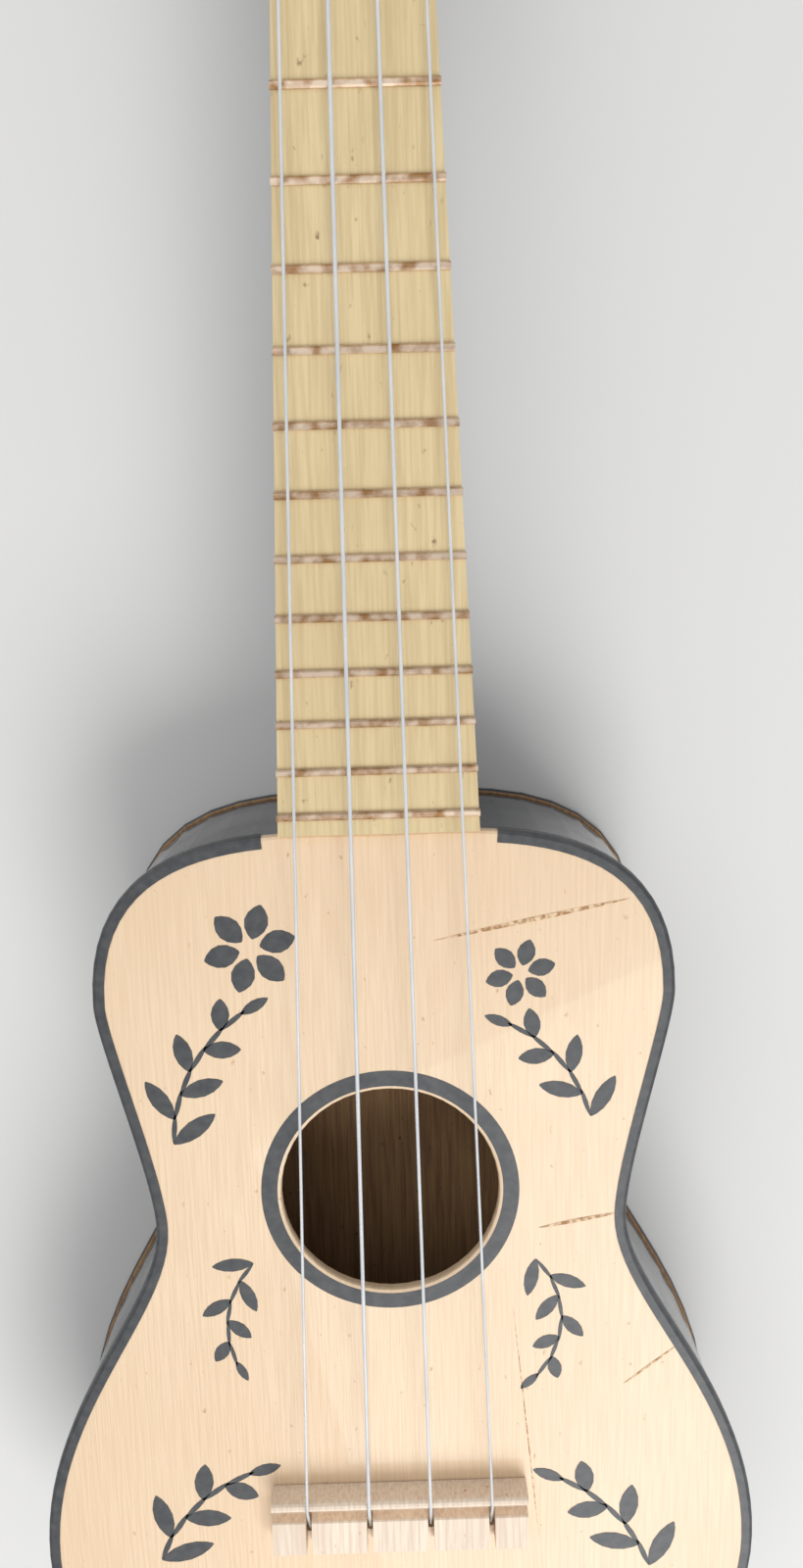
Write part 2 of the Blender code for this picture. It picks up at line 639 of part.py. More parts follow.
def add_bridge(finishes):
    """Profile along Y, from the front face back: rounded ridge, hollow groove and the block that holds the knots."""
    crown_z = RIDGE_HEIGHT - RIDGE_RADIUS
    profile = [(0.0, 0.0)]
    for i in range(7):
        angle = math.pi - math.pi * i / 6
        profile.append((RIDGE_RADIUS * (1 + math.cos(angle)), crown_z + RIDGE_RADIUS * math.sin(angle)))
    hollow = GROOVE_LENGTH * 0.30
    profile += [(RIDGE_THICKNESS, GROOVE_FLOOR + hollow), (RIDGE_THICKNESS + hollow, GROOVE_FLOOR)]
    block_front = RIDGE_THICKNESS + GROOVE_LENGTH
    profile += [(block_front - hollow * 0.5, GROOVE_FLOOR), (block_front, GROOVE_FLOOR + hollow * 0.5)]
    profile += [(block_front, TIE_BLOCK_HEIGHT - hollow * 0.3), (block_front + hollow * 0.3, TIE_BLOCK_HEIGHT)]
    profile += [(BRIDGE_LENGTH - hollow * 0.4, TIE_BLOCK_HEIGHT), (BRIDGE_LENGTH, TIE_BLOCK_HEIGHT - hollow * 0.4)]
    profile += [(BRIDGE_LENGTH, 0.0)]
    shape = bmesh.new()
    loop = [shape.verts.new((-BRIDGE_HALF, BRIDGE_FRONT_Y - back, BRIDGE_BASE + up)) for back, up in profile]
    face = shape.faces.new(loop)
    pushed = bmesh.ops.extrude_face_region(shape, geom=[face])["geom"]
    far = [item for item in pushed if isinstance(item, bmesh.types.BMVert)]
    bmesh.ops.translate(shape, verts=far, vec=(2 * BRIDGE_HALF, 0, 0))
    bridge = add_mesh("bridge", shape, finishes["top_wood"], smooth_below=40)

    slots = bmesh.new()
    pockets = bmesh.new()
    for name in STRING_NAMES:
        x = string_x(name, SADDLE_Y)
        add_box(slots,
                (x - BRIDGE_SLOT_WIDTH / 2, BRIDGE_FRONT_Y - 2 * BRIDGE_LENGTH, BRIDGE_BASE + BRIDGE_SLOT_FLOOR),
                (x + BRIDGE_SLOT_WIDTH / 2, BRIDGE_FRONT_Y - RIDGE_THICKNESS - GROOVE_LENGTH / 2,
                 BRIDGE_BASE + 2 * RIDGE_HEIGHT))
        bmesh.ops.create_cone(
            pockets, cap_ends=True, segments=12, radius1=KNOT_POCKET_RADIUS, radius2=KNOT_POCKET_RADIUS,
            depth=2 * KNOT_POCKET_HEIGHT, matrix=Matrix.Translation((x, knot_y(), BRIDGE_BASE)))
    cut(bridge, cutter("bridge_slot_cutter", slots))
    cut(bridge, cutter("knot_pocket_cutter", pockets))


def knot_y():
    return BRIDGE_FRONT_Y - RIDGE_THICKNESS - GROOVE_LENGTH - KNOT_IN_BLOCK


# Tuners

def post_place(name):
    """Side, distance along the headstock and distance from its centre line of one string's post."""
    side = -1 if name in ("g", "c") else 1
    if name in ("g", "a"):
        return side, NEAR_POST_ALONG, NEAR_POST_ASIDE
    return side, FAR_POST_ALONG, FAR_POST_ASIDE


def peg_matrix(name):
    """Frame of one tuner: origin where its axis meets the headstock's face, Z along the axis to the front."""
    side, along, aside = post_place(name)
    return head_matrix() @ Matrix.Translation((side * aside, along, 0))


def tuner_bore(name):
    """Stepped bore through the headstock: wide for the collar's sleeve, then just clear of the post."""
    wide = COLLAR_SLEEVE_RADIUS + GAP
    narrow = POST_RADIUS + TURNING_FIT
    step = -COLLAR_SLEEVE_LENGTH - GAP
    profile = [(0, POST_RISE), (wide, POST_RISE), (wide, step), (narrow, step), (narrow, -2 * HEAD_THICKNESS),
               (0, -2 * HEAD_THICKNESS)]
    bore = turned(f"tuner_{name}_bore_cutter", profile)
    bore.matrix_world = peg_matrix(name)
    as_cutter(bore)
    return bore


def winding_radius(name):
    return POST_RADIUS + STRING_DIAMETERS[name] / 2 + STRING_FIT


def winding_pitch(name):
    return STRING_DIAMETERS[name] + WINDING_GAP


def hole_height(name):
    """Height of the post's string hole: one pitch for the arriving turn, then the wound turns."""
    return FIRST_TURN_HEIGHT + winding_pitch(name) * (1 + WINDING_TURNS)


def wrap_turn(name):
    """Direction of winding seen from the front: the string comes up the inner side of its post."""
    return -post_place(name)[0]


def start_angle(name):
    """Angle about the post at which the string first touches it, on the side next to the centre line."""
    return math.pi if post_place(name)[0] > 0 else 0.0


def on_post(name, angle, height, radius=None):
    radius = winding_radius(name) if radius is None else radius
    return Vector((radius * math.cos(angle), radius * math.sin(angle), height))


def add_tuner(name, finishes, axis_frame):
    washer_low = -HEAD_THICKNESS - GAP - WASHER_THICKNESS
    button_top = washer_low - GAP
    stem_end = button_top - POST_STEM_LENGTH
    button_end = button_top - BUTTON_LENGTH
    bore = SCREW_SHANK_RADIUS + TURNING_FIT

    collar_hole = POST_RADIUS + TURNING_FIT
    turned(f"tuner_{name}_collar", [
        (collar_hole, GAP + COLLAR_FLANGE), (COLLAR_FLANGE_RADIUS - 0.0006, GAP + COLLAR_FLANGE),
        (COLLAR_FLANGE_RADIUS, GAP + COLLAR_FLANGE - 0.0006), (COLLAR_FLANGE_RADIUS, GAP),
        (COLLAR_SLEEVE_RADIUS, GAP), (COLLAR_SLEEVE_RADIUS, -COLLAR_SLEEVE_LENGTH),
        (collar_hole, -COLLAR_SLEEVE_LENGTH)], finishes["nickel"], axis_frame)
    turned(f"tuner_{name}_washer", [
        (collar_hole, -HEAD_THICKNESS - GAP), (WASHER_RADIUS, -HEAD_THICKNESS - GAP),
        (WASHER_RADIUS, washer_low + 0.0008), (WASHER_RADIUS - 0.0012, washer_low),
        (collar_hole, washer_low)], finishes["nickel"], axis_frame)

    post = turned(f"tuner_{name}_post", [
        (0, POST_RISE), (POST_RADIUS - 0.0006, POST_RISE), (POST_RADIUS, POST_RISE - 0.0006),
        (POST_RADIUS, button_top + GAP / 2), (POST_STEM_RADIUS, button_top + GAP / 2),
        (POST_STEM_RADIUS, stem_end), (bore, stem_end), (bore, stem_end + POST_STEM_LENGTH),
        (0, stem_end + POST_STEM_LENGTH)], finishes["nickel"], axis_frame)
    eye = bmesh.new()
    bmesh.ops.create_cone(
        eye, cap_ends=True, segments=10, radius1=POST_HOLE_RADIUS, radius2=POST_HOLE_RADIUS,
        depth=4 * POST_RADIUS,
        matrix=Matrix.Translation((0, 0, hole_height(name))) @ Matrix.Rotation(hole_angle(name), 4, "Z")
        @ Matrix.Rotation(math.pi / 2, 4, "Y"))
    cut(post, cutter(f"tuner_{name}_eye_cutter", eye, axis_frame))

    button = add_button(name, finishes, axis_frame, button_top, button_end)
    socket = turned(f"tuner_{name}_socket_cutter", [
        (0, button_top + GAP), (POST_STEM_RADIUS + TURNING_FIT, button_top + GAP),
        (POST_STEM_RADIUS + TURNING_FIT, stem_end - GAP), (bore, stem_end - GAP),
        (bore, button_end - GAP), (0, button_end - GAP)], parent=axis_frame)
    as_cutter(socket)
    cut(button, socket)

    head_low = button_end - GAP - SCREW_HEAD_HEIGHT
    turned(f"tuner_{name}_screw", [
        (0, button_end - GAP + SCREW_LENGTH), (SCREW_SHANK_RADIUS, button_end - GAP + SCREW_LENGTH),
        (SCREW_SHANK_RADIUS, button_end - GAP), (SCREW_HEAD_RADIUS, button_end - GAP),
        (SCREW_HEAD_RADIUS * 0.92, button_end - GAP - SCREW_HEAD_HEIGHT * 0.5),
        (SCREW_HEAD_RADIUS * 0.60, head_low), (0, head_low)], finishes["nickel"], axis_frame)


def add_button(name, finishes, axis_frame, top, end):
    """Eared button, lofted along the peg's axis from a round neck to a flat rounded paddle."""
    shares = ((0.0, 0.92, 0.0), (0.06, 1.0, 0.0), (0.20, 1.0, 0.15), (0.38, 1.0, 0.62), (0.58, 1.0, 0.94),
              (0.78, 1.0, 1.0), (0.92, 0.98, 0.90), (0.98, 0.94, 0.76), (1.0, 0.86, 0.66))
    sides = 20
    turn = Matrix.Rotation(math.radians(BUTTON_ANGLES[name]), 4, "Z")
    shape = bmesh.new()
    rings = []
    for share, trim, ears in shares:
        wide = mix(BUTTON_NECK_RADIUS, BUTTON_HALF_WIDTH, ears) * trim
        thick = mix(BUTTON_NECK_RADIUS, BUTTON_HALF_THICKNESS, min(ears * 1.5, 1.0)) * trim
        ring = []
        for i in range(sides):
            angle = 2 * math.pi * i / sides
            across = math.copysign(abs(math.cos(angle)) ** 0.85, math.cos(angle))
            through = math.copysign(abs(math.sin(angle)) ** 0.85, math.sin(angle))
            ring.append(shape.verts.new(turn @ Vector((wide * across, thick * through, mix(top, end, share)))))
        rings.append(ring)
    for near, far in zip(rings, rings[1:]):
        for i in range(sides):
            j = (i + 1) % sides
            shape.faces.new((near[i], near[j], far[j], far[i]))
    shape.faces.new(rings[0])
    shape.faces.new(rings[-1])
    return add_mesh(f"tuner_{name}_button", shape, finishes["button"], axis_frame, smooth_below=50)


# Strings

def hole_angle(name):
    """Angle about the post of the hole's mouth, where the last turn bends inwards."""
    return start_angle(name) + wrap_turn(name) * (WRAP_ANGLE + 2 * math.pi * WINDING_TURNS)


def over_ridge(name):
    """Points of the string's centre over the saddle ridge, as (distance behind the front face, height)."""
    radius = RIDGE_RADIUS + STRING_DIAMETERS[name] / 2 + STRING_FIT
    crown = (RIDGE_RADIUS, RIDGE_HEIGHT - RIDGE_RADIUS)
    points = []
    for degrees in (90, 75, 60):
        angle = math.radians(degrees)
        points.append((crown[0] + radius * math.cos(angle), crown[1] + radius * math.sin(angle)))
    return points


def string_route(name):
    """Centre line from the knot in the bridge over the saddle and nut, then round the post's inner side."""
    radius = STRING_DIAMETERS[name] / 2
    x = string_x(name, SADDLE_Y)
    knot_z = BRIDGE_BASE + KNOT_RADIUS + GAP
    leave = over_ridge(name)[-1]
    leave_point = Vector((x, BRIDGE_FRONT_Y - leave[0], BRIDGE_BASE + leave[1]))
    knot = Vector((x, knot_y(), knot_z))
    reach = (leave_point - knot).normalized()
    points = [knot - reach * KNOT_RADIUS * 0.95, knot - reach * KNOT_RADIUS * 0.7, knot,
              knot + reach * KNOT_RADIUS * 0.7, knot + reach * KNOT_RADIUS * 0.95]
    swell = KNOT_RADIUS / radius
    radii = [swell * 0.30, swell * 0.72, swell, swell * 0.72, 1.0]
    for back, up in reversed(over_ridge(name)):
        points.append(Vector((x, BRIDGE_FRONT_Y - back, BRIDGE_BASE + up)))
    nut_z = BOARD_TOP + NUT_SLOT_RISE + radius + STRING_FIT
    points.append(Vector((string_x(name, NUT_Y), NUT_Y, nut_z)))
    points.append(Vector((string_x(name, NUT_Y), NUT_Y + NUT_THICKNESS, nut_z)))
    frame = peg_matrix(name)
    first = start_angle(name)
    steps = 9
    for i in range(steps + 1):
        angle = first + wrap_turn(name) * WRAP_ANGLE * i / steps
        points.append(frame @ on_post(name, angle, FIRST_TURN_HEIGHT))
    return points, radii + [1.0] * (len(points) - len(radii))


def winding_route(name):
    """Centre line of the wound turns: helix up the post, a short bend, then straight through the hole."""
    pitch = winding_pitch(name)
    first = start_angle(name) + wrap_turn(name) * WRAP_ANGLE
    steps = WINDING_TURNS * POINTS_PER_TURN
    bend = STRING_DIAMETERS[name] * 1.4
    bend_angle = bend / winding_radius(name)
    points = []
    for i in range(steps + 1):
        turned_by = 2 * math.pi * WINDING_TURNS * i / steps
        if turned_by > 2 * math.pi * WINDING_TURNS - bend_angle:
            break
        height = FIRST_TURN_HEIGHT + pitch * (1 + turned_by / (2 * math.pi))
        points.append(on_post(name, first + wrap_turn(name) * turned_by, height))
    mouth = hole_angle(name)
    level = hole_height(name)
    inner = winding_radius(name) - bend
    sideways = Vector((-math.sin(mouth), math.cos(mouth), 0)) * wrap_turn(name)
    outward = Vector((math.cos(mouth), math.sin(mouth), 0))
    for degrees in (15, 40, 65, 90):
        angle = math.radians(degrees)
        offset = outward * (inner + bend * math.cos(angle)) - sideways * bend * (1 - math.sin(angle))
        points.append(offset + Vector((0, 0, level)))
    points.append(Vector((0, 0, level)))
    points.append(-outward * (POST_RADIUS + STRING_TAIL) + Vector((0, 0, level)))
    return points


def least_gap(points, diameter):
    """Smallest distance between stretches of one tube that aren't neighbours along it, less its diameter."""
    apart = POINTS_PER_TURN // 2
    least = min((a - b).length for i, a in enumerate(points) for b in points[i + apart:])
    return least - diameter


def add_strings(finishes, axis_frames):
    for name in STRING_NAMES:
        diameter = STRING_DIAMETERS[name]
        route, radii = string_route(name)
        tube(f"string_{name}", route, diameter / 2, finishes["nylon"], radii=radii)
        turns = winding_route(name)
        tube(f"string_{name}_winding", turns, diameter / 2, finishes["nylon"], axis_frames[name], resolution=1)
        length = sum((b - a).length for a, b in zip(route, route[1:]))
        wound = sum((b - a).length for a, b in zip(turns, turns[1:]))
        print(f"string {name}: run {length:.4f} m, wound {wound:.4f} m, "
              f"winding's least gap to itself {least_gap(turns, diameter) * 1000:.3f} mm")


def main():
    clear_scene()
    finishes = {
        "top_wood": material("top_wood", (0.90, 0.74, 0.52), 0.45),
        "board_wood": material("board_wood", (0.88, 0.74, 0.50), 0.55),
        "inner_wood": material("inner_wood", (0.55, 0.38, 0.22), 0.75),
        "black_gloss": material("black_gloss", (0.02, 0.022, 0.03), 0.18),
        "brass": material("brass", (0.78, 0.52, 0.22), 0.35, 1.0),
        "nickel": material("nickel", (0.70, 0.68, 0.65), 0.28, 1.0),
        "ivory": material("ivory", (0.86, 0.82, 0.70), 0.40),
        "button": material("button", (0.85, 0.80, 0.66), 0.30),
        "nylon": material("nylon", (0.92, 0.93, 0.94), 0.25),
    }
    dowel_bore = dowel_cutter()
    add_plates(finishes)
    add_sides(finishes, dowel_bore)
    add_linings(finishes)
    add_blocks(finishes, dowel_bore)
    add_braces(finishes)
    add_bridge_patch(finishes)
    add_neck(finishes, dowel_bore)
    add_dowel(finishes)
    add_fretboard(finishes)
    add_frets(finishes)
    add_nut(finishes)
    add_bridge(finishes)
    axis_frames = {}
    for name in STRING_NAMES:
        axis_frames[name] = add_object(f"tuner_{name}_axis", None)
        axis_frames[name].matrix_world = peg_matrix(name)
        add_tuner(name, finishes, axis_frames[name])
        origin = peg_matrix(name).translation
        axis = peg_matrix(name).to_3x3() @ Vector((0, 0, 1))
        print(f"tuner {name}: axis at {[round(v, 6) for v in origin]} along {[round(v, 6) for v in axis]}")
    add_strings(finishes, axis_frames)


main()
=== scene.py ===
"""Finish of the soprano ukulele: woods, paint, metal and strings, seen from above its neck."""

import math

import bmesh
import bpy
from mathutils import Matrix, Vector


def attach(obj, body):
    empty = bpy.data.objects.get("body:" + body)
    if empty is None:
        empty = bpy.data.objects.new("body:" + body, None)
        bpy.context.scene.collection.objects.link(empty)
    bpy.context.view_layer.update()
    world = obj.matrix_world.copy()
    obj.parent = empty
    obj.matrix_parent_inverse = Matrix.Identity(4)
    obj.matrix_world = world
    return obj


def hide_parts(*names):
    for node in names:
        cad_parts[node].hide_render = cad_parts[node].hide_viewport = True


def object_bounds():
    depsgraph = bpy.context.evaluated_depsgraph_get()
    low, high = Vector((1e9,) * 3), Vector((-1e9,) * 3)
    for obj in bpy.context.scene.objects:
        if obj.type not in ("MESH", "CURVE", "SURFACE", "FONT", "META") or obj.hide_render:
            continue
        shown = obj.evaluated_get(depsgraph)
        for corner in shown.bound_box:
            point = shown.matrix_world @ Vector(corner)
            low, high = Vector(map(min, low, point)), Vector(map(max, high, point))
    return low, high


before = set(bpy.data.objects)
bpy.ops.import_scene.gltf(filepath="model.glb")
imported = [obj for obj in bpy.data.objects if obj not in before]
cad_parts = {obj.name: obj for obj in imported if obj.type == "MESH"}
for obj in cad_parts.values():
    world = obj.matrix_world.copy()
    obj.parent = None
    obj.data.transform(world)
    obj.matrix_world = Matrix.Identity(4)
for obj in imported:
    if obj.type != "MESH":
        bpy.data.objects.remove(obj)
cad_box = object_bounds()

# The view from above the neck, looking down and a little towards the tail, as someone
# holding the instrument out in front would see it. Lens and sensor are in millimetres, and
# every other length in this file is in metres.
NUT_Y = 0.2946
TOP_Z = 0.0500
CAMERA_BEHIND_NUT = 0.1083
CAMERA_OVER_TOP = 0.2608
CAMERA_ASIDE = 0.0041
camera_right = (0.99958, -0.02716, 0.00962)
camera_up = (0.02849, 0.98143, -0.18972)
camera_back = (-0.00429, 0.18991, 0.98179)
camera_data = bpy.data.cameras.new("view_camera")
camera_data.lens = 27.77
camera_data.sensor_width = 36.0
camera_data.clip_start = 0.01
camera = bpy.data.objects.new("view_camera", camera_data)
bpy.context.scene.collection.objects.link(camera)
turn = Matrix((camera_right, camera_up, camera_back)).transposed().to_4x4()
stand = Matrix.Translation((CAMERA_ASIDE, NUT_Y - CAMERA_BEHIND_NUT, TOP_Z + CAMERA_OVER_TOP))
camera.matrix_world = stand @ turn
bpy.context.scene.camera = camera
bpy.context.scene.view_settings.view_transform = "Standard"

# Plain pale floor just under the back, a large soft lamp over the tail and a weaker one
# over the headstock, so that faces turned to the neck lie in soft shade.
FLOOR_HALF = 4.0
FLOOR_DROP = 0.0002
floor_mesh = bpy.data.meshes.new("floor")
floor_shape = bmesh.new()
bmesh.ops.create_grid(floor_shape, x_segments=1, y_segments=1, size=FLOOR_HALF)
floor_shape.to_mesh(floor_mesh)
floor_shape.free()
floor = bpy.data.objects.new("floor", floor_mesh)
floor.location.z = cad_box[0][2] - FLOOR_DROP
bpy.context.scene.collection.objects.link(floor)
floor_paint = bpy.data.materials.new("pale_floor")
floor_paint.use_nodes = True
floor_paint.node_tree.nodes["Principled BSDF"].inputs["Base Color"].default_value = (0.80, 0.79, 0.77, 1)
floor_paint.node_tree.nodes["Principled BSDF"].inputs["Roughness"].default_value = 0.9
floor_mesh.materials.append(floor_paint)
for lamp_name, lamp_place, watts, size in (
        ("tail_lamp", (0.35, -0.75, 1.05), 12.5, 0.9),
        ("head_lamp", (-0.6, 0.7, 1.1), 3.5, 1.2)):
    lamp_data = bpy.data.lights.new(lamp_name, "AREA")
    lamp_data.energy = watts
    lamp_data.size = size
    lamp = bpy.data.objects.new(lamp_name, lamp_data)
    lamp.location = lamp_place
    lamp.rotation_euler = (-Vector(lamp_place)).to_track_quat("-Z", "Y").to_euler()
    bpy.context.scene.collection.objects.link(lamp)
world = bpy.data.worlds.new("soft_sky")
bpy.context.scene.world = world
world.use_nodes = True
world.node_tree.nodes["Background"].inputs["Color"].default_value = (0.95, 0.97, 1.0, 1)
world.node_tree.nodes["Background"].inputs["Strength"].default_value = 0.50

# Grain and stains that every wooden piece shares: long fibres along the instrument, broad
# tone changes and small specks. Out come a colour and a height that vary over the surface.
EVEN = (1.0, 1.0, 1.0)
MIX_SHARE, MIX_FIRST, MIX_SECOND, MIX_COLOR = 0, 6, 7, 2
CLOUD_STRENGTH = 0.40
grain = bpy.data.node_groups.new("wood_grain", "ShaderNodeTree")
for label, kind, way in (
        ("Light", "NodeSocketColor", "INPUT"), ("Dark", "NodeSocketColor", "INPUT"),
        ("Stain", "NodeSocketColor", "INPUT"), ("Fibre", "NodeSocketFloat", "INPUT"),
        ("Color", "NodeSocketColor", "OUTPUT"), ("Height", "NodeSocketFloat", "OUTPUT")):
    grain.interface.new_socket(name=label, in_out=way, socket_type=kind)


def link(tree, first, out, second, into):
    tree.links.new(first.outputs[out], second.inputs[into])


def noise(tree, stretch, scale, detail):
    """Noise on Object coordinates, stretched along each axis by the values given."""
    place = tree.nodes.new("ShaderNodeTexCoord")
    mapping = tree.nodes.new("ShaderNodeMapping")
    mapping.inputs["Scale"].default_value = stretch
    link(tree, place, "Object", mapping, "Vector")
    texture = tree.nodes.new("ShaderNodeTexNoise")
    texture.inputs["Scale"].default_value = scale
    texture.inputs["Detail"].default_value = detail
    link(tree, mapping, "Vector", texture, "Vector")
    return texture


def ramp(tree, source, out, low, high, least=0.0, most=1.0):
    """Turns the span from low to high into the span from least to most."""
    node = tree.nodes.new("ShaderNodeMapRange")
    for socket, value in (("From Min", low), ("From Max", high), ("To Min", least), ("To Max", most)):
        node.inputs[socket].default_value = value
    link(tree, source, out, node, "Value")
    return node


def blended(tree, share, out, first, second):
    """A colour mix; first and second are (node, socket) pairs or plain colours."""
    node = tree.nodes.new("ShaderNodeMix")
    node.data_type = "RGBA"
    link(tree, share, out, node, MIX_SHARE)
    for slot, value in ((MIX_FIRST, first), (MIX_SECOND, second)):
        if isinstance(value[0], float):
            node.inputs[slot].default_value = (*value, 1)
        else:
            link(tree, *value, node, slot)
    return node


def product(tree):
    node = tree.nodes.new("ShaderNodeMath")
    node.operation = "MULTIPLY"
    return node


entry = grain.nodes.new("NodeGroupInput")
leave = grain.nodes.new("NodeGroupOutput")
fibres = ramp(grain, noise(grain, (1.0, 0.035, 0.4), 1500.0, 5.0), "Fac", 0.38, 0.64)
clouds = ramp(grain, noise(grain, (1.0, 0.45, 1.0), 22.0, 3.0), "Fac", 0.36, 0.68)
specks = ramp(grain, noise(grain, (1.0, 0.6, 1.0), 520.0, 3.0), "Fac", 0.68, 0.80)
fibre_share = product(grain)
link(grain, fibres, "Result", fibre_share, 0)
link(grain, entry, "Fibre", fibre_share, 1)
fibred = blended(grain, fibre_share, "Value", (entry, "Light"), (entry, "Dark"))
cloud_share = product(grain)
link(grain, clouds, "Result", cloud_share, 0)
cloud_share.inputs[1].default_value = CLOUD_STRENGTH
clouded = blended(grain, cloud_share, "Value", (fibred, MIX_COLOR), (entry, "Dark"))
stained = blended(grain, specks, "Result", (clouded, MIX_COLOR), (entry, "Stain"))
link(grain, stained, MIX_COLOR, leave, "Color")
link(grain, fibres, "Result", leave, "Height")

# The soundboard is a thin plate of blond wood under satin varnish, glued over the sides.
# Its finish is the shared grain in pale tones.
BUMP_DEPTH = 0.0002


def finish(name, color, roughness, metallic=0.0, coat=0.0):
    made = bpy.data.materials.new(name)
    made.use_nodes = True
    shader = made.node_tree.nodes["Principled BSDF"]
    shader.inputs["Base Color"].default_value = (*color, 1)
    shader.inputs["Roughness"].default_value = roughness
    shader.inputs["Metallic"].default_value = metallic
    shader.inputs["Coat Weight"].default_value = coat
    return made, shader


def bumped(made, shader, source, out, strength):
    bump = made.node_tree.nodes.new("ShaderNodeBump")
    bump.inputs["Strength"].default_value = strength
    bump.inputs["Distance"].default_value = BUMP_DEPTH
    link(made.node_tree, source, out, bump, "Height")
    link(made.node_tree, bump, "Normal", shader, "Normal")


def grained(tree, light, dark, stain, fibre):
    wood = tree.nodes.new("ShaderNodeGroup")
    wood.node_tree = grain
    for socket, color in (("Light", light), ("Dark", dark), ("Stain", stain)):
        wood.inputs[socket].default_value = (*color, 1)
    wood.inputs["Fibre"].default_value = fibre
    return wood


def wooden(name, light, dark, stain, fibre, roughness, coat=0.0):
    made, shader = finish(name, light, roughness, coat=coat)
    wood = grained(made.node_tree, light, dark, stain, fibre)
    link(made.node_tree, wood, "Color", shader, "Base Color")
    bumped(made, shader, wood, "Height", 0.25)
    return made


def dress(material, *nodes):
    for node in nodes:
        bpy.data.objects[node].data.materials.clear()
        bpy.data.objects[node].data.materials.append(material)


blond = wooden("blond_top", (0.90, 0.69, 0.47), (0.76, 0.53, 0.33), (0.50, 0.27, 0.11),
               fibre=0.45, roughness=0.42, coat=0.25)
dress(blond, "soundboard")

# The bridge is one sawn bar of pale unvarnished wood, glued to the soundboard, with a ridge
# for the strings and slots for their knots.
sawn = wooden("sawn_bridge", (0.93, 0.80, 0.64), (0.74, 0.57, 0.44), (0.55, 0.22, 0.07),
              fibre=0.75, roughness=0.60)
dress(sawn, "bridge")

# The fretboard is a thin board of the same kind of wood, glued on the neck. It is dry, and
# darker than the soundboard from handling.
worn_board = wooden("worn_board", (0.82, 0.66, 0.38), (0.62, 0.46, 0.24), (0.28, 0.17, 0.09),
                    fibre=0.65, roughness=0.62)
dress(worn_board, "fretboard")

# Blocks, linings, braces and bridge patch are bare brown wood, glued up inside the body. So
# is the dowel that joins body and neck, part of whose end shows on the outside of the heel.
inside = [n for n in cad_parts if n.endswith("_block") or "lining" in n or "brace" in n]
bare_inner = wooden("bare_inner_wood", (0.42, 0.25, 0.12), (0.22, 0.11, 0.05), (0.08, 0.04, 0.03),
                    fibre=0.7, roughness=0.85)
dress(bare_inner, "neck_dowel", "bridge_patch", *inside)

# Sides and neck are wood sprayed black gloss, with a slight orange peel and fine dust that
# dulls the gloss in patches.
BLACK = (0.018, 0.020, 0.027)
black, black_shader = finish("black_gloss_paint", BLACK, 0.2, coat=0.6)
dust = ramp(black.node_tree, noise(black.node_tree, EVEN, 60.0, 4.0), "Fac", 0.3, 0.8, least=0.14, most=0.38)
link(black.node_tree, dust, "Result", black_shader, "Roughness")
bumped(black, black_shader, noise(black.node_tree, EVEN, 900.0, 1.0), "Fac", 0.06)
dress(black, "rib_bass", "rib_treble", "neck")

# The back plate is a flat board, black outside and bare brown wood on its upper face, which
# shows through the soundhole. Paint and wood part by height, just under that face, so its
# rim outside the sides is brown too.
PAINT_ENDS_Z = 0.0023
WOOD_STARTS_Z = 0.0024
shell = black.copy()
shell.name = "black_outside_bare_inside"
shell_tree = shell.node_tree
shell_shader = shell_tree.nodes["Principled BSDF"]
shell_place = shell_tree.nodes.new("ShaderNodeTexCoord")
shell_axes = shell_tree.nodes.new("ShaderNodeSeparateXYZ")
link(shell_tree, shell_place, "Object", shell_axes, "Vector")
for socket, painted_value, bare_value in (("Roughness", 0.22, 0.85), ("Coat Weight", 0.6, 0.0)):
    by_height = ramp(shell_tree, shell_axes, "Z", PAINT_ENDS_Z, WOOD_STARTS_Z, painted_value, bare_value)
    link(shell_tree, by_height, "Result", shell_shader, socket)
bare_wood = grained(shell_tree, (0.50, 0.30, 0.14), (0.24, 0.12, 0.06), (0.06, 0.04, 0.04), fibre=0.7)
upper_face = ramp(shell_tree, shell_axes, "Z", PAINT_ENDS_Z, WOOD_STARTS_Z)
shell_color = blended(shell_tree, upper_face, "Result", BLACK, (bare_wood, "Color"))
link(shell_tree, shell_color, MIX_COLOR, shell_shader, "Base Color")
dress(shell, "back_plate")

# Frets are brass bars pressed into the fretboard, bright where strings and fingers rub them
# and brown where they have tarnished.


def mottled(made, shader, scale, detail, low, high, first, second, stretch=EVEN):
    """Lets the colour change from place to place between two tones."""
    mask = ramp(made.node_tree, noise(made.node_tree, stretch, scale, detail), "Fac", low, high)
    tone = blended(made.node_tree, mask, "Result", first, second)
    link(made.node_tree, tone, MIX_COLOR, shader, "Base Color")


brass, brass_shader = finish("tarnished_brass", (0.80, 0.58, 0.36), 0.34, metallic=0.85)
mottled(brass, brass_shader, 260.0, 4.0, 0.42, 0.66, (0.86, 0.68, 0.52), (0.42, 0.22, 0.09))
dress(brass, *[f"fret_{number:02d}" for number in range(1, 13)])

# Posts, collars, washers and screws of the tuners are nickel-plated metal, set in the
# headstock, with the plate a little dulled in patches.
STRING_NAMES = "gcea"
nickel, nickel_shader = finish("nickel_plate", (0.66, 0.64, 0.60), 0.22, metallic=1.0)
wear = ramp(nickel.node_tree, noise(nickel.node_tree, EVEN, 300.0, 3.0), "Fac", 0.3, 0.8, least=0.16, most=0.40)
link(nickel.node_tree, wear, "Result", nickel_shader, "Roughness")
dress(nickel, *[f"tuner_{s}_{part}" for s in STRING_NAMES for part in ("post", "collar", "washer", "screw")])

